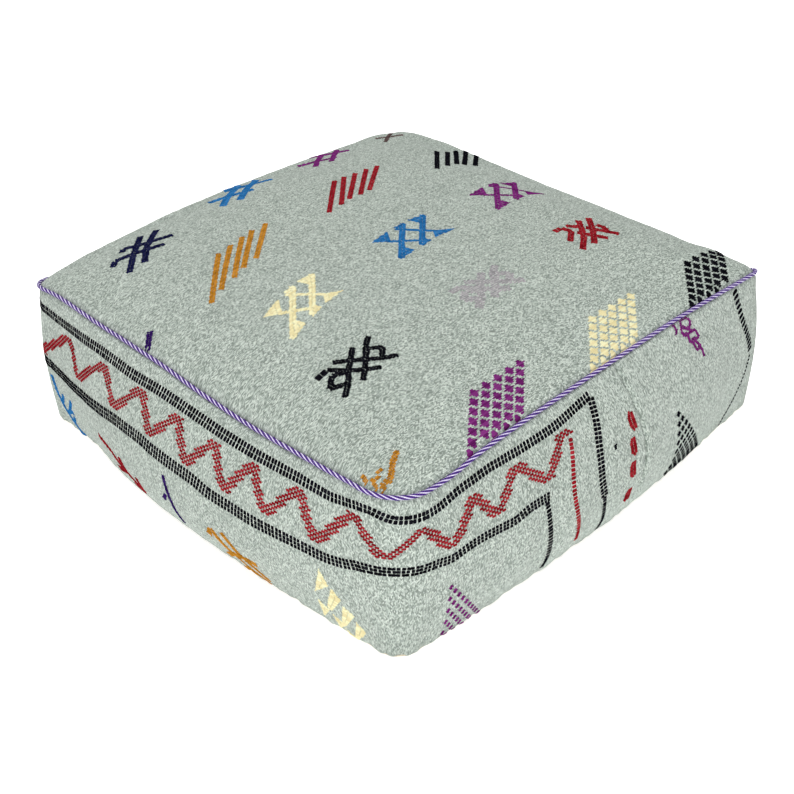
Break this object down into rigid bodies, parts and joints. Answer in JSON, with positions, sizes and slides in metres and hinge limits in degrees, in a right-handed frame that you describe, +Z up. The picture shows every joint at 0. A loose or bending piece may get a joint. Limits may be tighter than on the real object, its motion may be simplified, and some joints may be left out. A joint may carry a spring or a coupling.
{
  "type": "floor cushion",
  "caption": "Square box-shaped floor cushion: zipped woven cover with stitched motifs and twisted piping over a stuffed insert.",
  "frame": {"origin": "on the floor under the middle of the cushion", "axes": "+Z up, +X and +Y square to the sides; the zip under the base runs along X and closes towards +X"},
  "size_m": [0.668, 0.668, 0.2264],
  "materials": {
    "kilim": "matte",
    "cord_purple": "satin",
    "cord_pale": "satin",
    "canvas": "matte",
    "zip_tape": "matte",
    "zip_teeth": "satin",
    "zip_metal": "satin",
    "liner": "matte",
    "wadding": "matte",
    "foam": "matte",
    "yarn": "satin",
    "thread": "matte"
  },
  "bodies": {
    "cushion": {"top_panel": "kilim", "side_strip_front": "kilim", "side_strip_right": "kilim", "side_strip_back_right": "kilim", "side_strip_back_left": "kilim", "piping_ply_purple": "cord_purple", "piping_ply_pale": "cord_pale", "base_panel_near": "canvas", "base_panel_far": "canvas", "zip_tape_near": "zip_tape", "zip_tape_far": "zip_tape", "zip_teeth_near": "zip_teeth", "zip_teeth_far": "zip_teeth", "zip_top_stops": "zip_metal", "zip_bottom_stop": "zip_metal", "insert_liner_top": "liner", "insert_liner_side_near": "liner", "insert_liner_side_far": "liner", "insert_liner_base": "liner", "wadding_upper": "wadding", "wadding_lower": "wadding", "foam_slab": "foam"},
    "slider": {"zip_slider": "zip_metal"},
    "pull": {"zip_pull": "zip_metal"}
  },
  "joints": [
    {"name": "zip_slide", "type": "slide", "parent": "cushion", "child": "slider", "axis": [-1, 0, 0], "range_m": [0, 0.38]},
    {"name": "pull_swing", "type": "hinge", "parent": "slider", "child": "pull", "pos_m": [0.19, 0, 0.0031], "axis": [0, -1, 0], "range_deg": [0, 160]}
  ]
}
